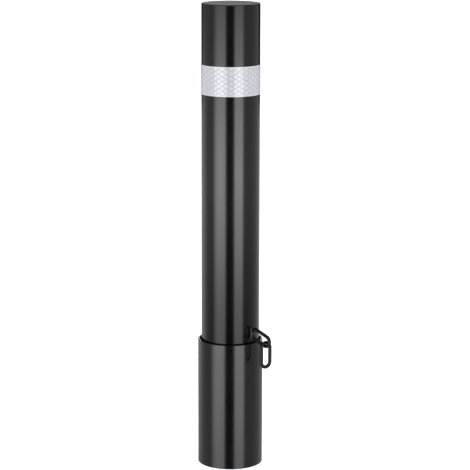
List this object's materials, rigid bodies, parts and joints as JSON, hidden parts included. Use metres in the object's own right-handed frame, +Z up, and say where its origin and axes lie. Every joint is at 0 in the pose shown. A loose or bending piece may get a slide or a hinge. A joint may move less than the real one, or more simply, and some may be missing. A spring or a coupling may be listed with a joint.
{
  "type": "removable steel bollard",
  "caption": "Removable round steel bollard in a ground sleeve, with a reflective band, a welded chain eye and a hanging chain link.",
  "frame": {"origin": "on the axis of the post and sleeve, in the plane of the sleeve's lower end", "axes": "+Z up along the post, -Y towards the front, +X to the right seen from the front"},
  "size_m": [0.1291, 0.128, 0.815],
  "materials": {
    "post_coat": "satin black powder coat",
    "sleeve_coat": "satin black powder coat",
    "chain_coat": "black powder coat over welded wire",
    "reflective_tape": "silver-white retroreflective film with a honeycomb lattice"
  },
  "bodies": {
    "sleeve": {"ground_sleeve": "sleeve_coat", "stop_bar": "sleeve_coat"},
    "post": {"post_tube": "post_coat", "top_cap": "post_coat", "reflective_band": "reflective_tape", "chain_eye": "chain_coat"},
    "link": {"chain_link": "chain_coat"}
  },
  "joints": [
    {"name": "post_lift", "type": "slide", "parent": "sleeve", "child": "post", "axis": [0, 0, 1], "range_m": [0, 0.24]},
    {"name": "link_swing", "type": "hinge", "parent": "post", "child": "link", "pos_m": [0.06147, -0.06147, 0.22544], "axis": [0.7071, -0.7071, 0], "range_deg": [-85, 85]}
  ]
}
